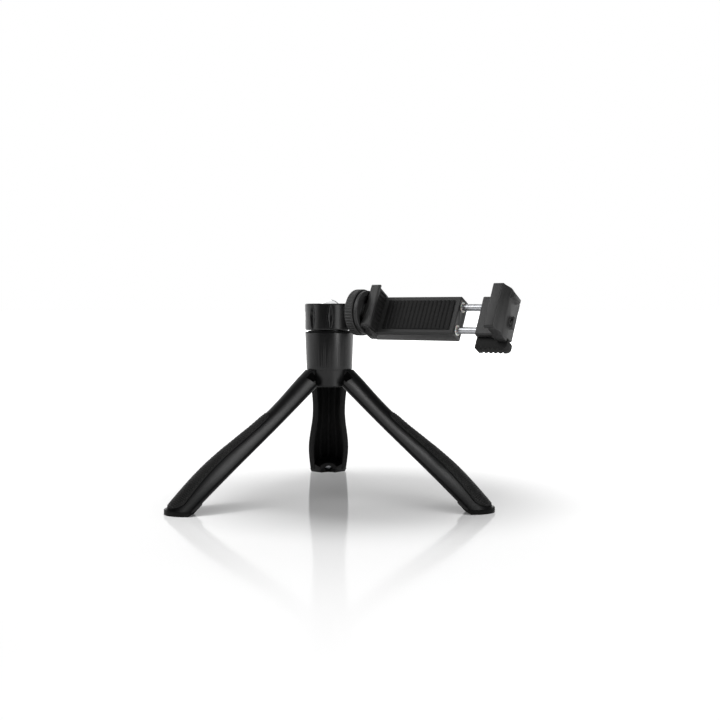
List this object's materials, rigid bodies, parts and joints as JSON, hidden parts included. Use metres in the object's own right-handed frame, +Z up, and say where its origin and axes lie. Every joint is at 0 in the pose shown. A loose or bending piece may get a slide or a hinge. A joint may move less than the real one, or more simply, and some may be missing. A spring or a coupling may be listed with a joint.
{
  "type": "phone tripod",
  "caption": "Small table tripod whose legs fold into a handle, with a ball head, a locking collar, a thumb wheel and a spring-loaded phone clamp.",
  "frame": {"origin": "centre of the footprint box at floor level; the tripod's own axis stands 5.9 mm to the left of it and 14.3 mm in front of it", "axes": "+X to the right, +Y away from the front towards the back leg, +Z up"},
  "size_m": [0.1776, 0.1602, 0.1147],
  "materials": {
    "black_gloss": "smooth moulded black plastic with a soft gloss",
    "black_matte": "fine-textured moulded black plastic",
    "black_metal": "black-coated turned metal",
    "rubber_black": "matt black rubber",
    "grip_rubber": "black rubber with a small cell texture",
    "steel": "plain turned steel",
    "chrome": "polished plating",
    "brass": "turned brass",
    "nylon": "natural nylon"
  },
  "bodies": {
    "hub": {"hub_body": "black_gloss", "hinge_pins": "steel", "center_bolt": "steel", "ball_socket": "black_metal", "friction_cup": "nylon"},
    "left_leg": {"left_leg_shell": "black_gloss", "left_leg_grip": "grip_rubber", "left_leg_foot": "rubber_black", "left_foot_screw": "steel"},
    "right_leg": {"right_leg_shell": "black_gloss", "right_leg_grip": "grip_rubber", "right_leg_foot": "rubber_black", "right_foot_screw": "steel"},
    "back_leg": {"back_leg_shell": "black_gloss", "back_leg_grip": "grip_rubber", "back_leg_foot": "rubber_black", "back_foot_screw": "steel"},
    "collar": {"locking_collar": "black_gloss"},
    "stud": {"ball_stud": "chrome"},
    "wheel": {"thumb_wheel": "black_matte", "wheel_washer": "rubber_black"},
    "clamp": {"clamp_frame": "black_matte", "thread_insert": "brass", "fixed_jaw_pad": "rubber_black", "back_pad": "rubber_black", "rear_cover": "black_matte", "cover_screws": "steel", "rod_bushes": "nylon", "return_springs": "steel"},
    "jaw": {"moving_jaw": "black_matte", "moving_jaw_pad": "rubber_black", "pull_grip": "rubber_black", "pull_rods": "steel", "rod_stops": "steel"}
  },
  "joints": [
    {"name": "left_leg_fold", "type": "hinge", "parent": "hub", "child": "left_leg", "pos_m": [-0.01257, -0.01815, 0.06874], "axis": [0.5, -0.866, 0], "range_deg": [0, 49.8]},
    {"name": "right_leg_fold", "type": "hinge", "parent": "hub", "child": "right_leg", "pos_m": [0.00077, -0.01815, 0.06874], "axis": [0.5, 0.866, 0], "range_deg": [0, 49.8]},
    {"name": "back_leg_fold", "type": "hinge", "parent": "hub", "child": "back_leg", "pos_m": [-0.0059, -0.0066, 0.06874], "axis": [-1, 0, 0], "range_deg": [0, 49.8]},
    {"name": "collar_turn", "type": "hinge", "parent": "hub", "child": "collar", "pos_m": [-0.0059, -0.0143, 0.10004], "axis": [0, 0, 1], "continuous": true},
    {"name": "stud_tilt", "type": "hinge", "parent": "collar", "child": "stud", "pos_m": [-0.0059, -0.0143, 0.10004], "axis": [-0.5793, -0.8151, 0], "range_deg": [0, 90]},
    {"name": "wheel_turn", "type": "hinge", "parent": "stud", "child": "wheel", "pos_m": [-0.0059, -0.0143, 0.10004], "axis": [0.8151, -0.5793, 0], "continuous": true},
    {"name": "clamp_turn", "type": "hinge", "parent": "stud", "child": "clamp", "pos_m": [-0.0059, -0.0143, 0.10004], "axis": [0.8151, -0.5793, 0], "continuous": true},
    {"name": "jaw_slide", "type": "slide", "parent": "clamp", "child": "jaw", "axis": [0.8151, -0.5793, 0], "range_m": [-0.012, 0.015], "deforming": ["return_springs"]}
  ]
}
